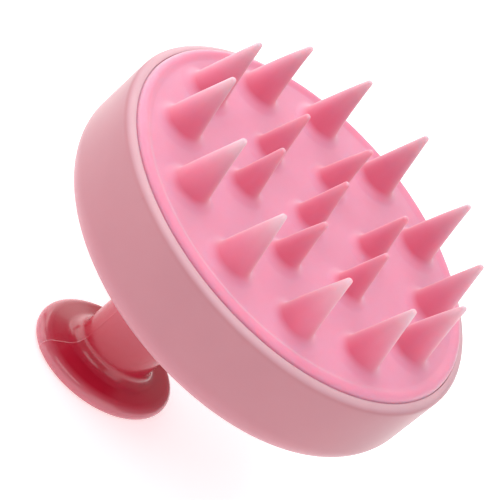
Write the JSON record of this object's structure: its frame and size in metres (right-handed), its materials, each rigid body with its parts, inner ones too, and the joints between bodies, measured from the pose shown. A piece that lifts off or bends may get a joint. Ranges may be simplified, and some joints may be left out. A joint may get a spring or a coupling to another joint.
{
  "type": "scalp massager brush",
  "caption": "Round palm-held scalp massager: soft face of cone bristles on a rigid cup with a mushroom handle; the face pulls off for cleaning.",
  "frame": {"origin": "on the cup's axis, level with the knob's flat outer end, which the brush stands on", "axes": "+Z along the cup's axis with the bristles up; -X towards the side that the handle is set off to; XZ is the mirror plane"},
  "size_m": [0.085, 0.085, 0.0706],
  "materials": {
    "housing_gloss": "glossy dusty pink moulding",
    "handle_gloss": "glossy deep rose moulding",
    "steel": "plain stainless fastener",
    "carrier_matte": "satin moulded stiffener",
    "silicone": "soft satin translucent silicone"
  },
  "bodies": {
    "handle_body": {"housing_shell": "housing_gloss", "grip_handle": "handle_gloss", "handle_screw": "steel", "handle_washer": "steel"},
    "brush_face": {"carrier_plate": "carrier_matte", "bristle_pad": "silicone"}
  },
  "joints": [
    {"name": "face_pull_off", "type": "slide", "parent": "handle_body", "child": "brush_face", "axis": [0, 0, 1], "range_m": [0, 0.03]}
  ]
}
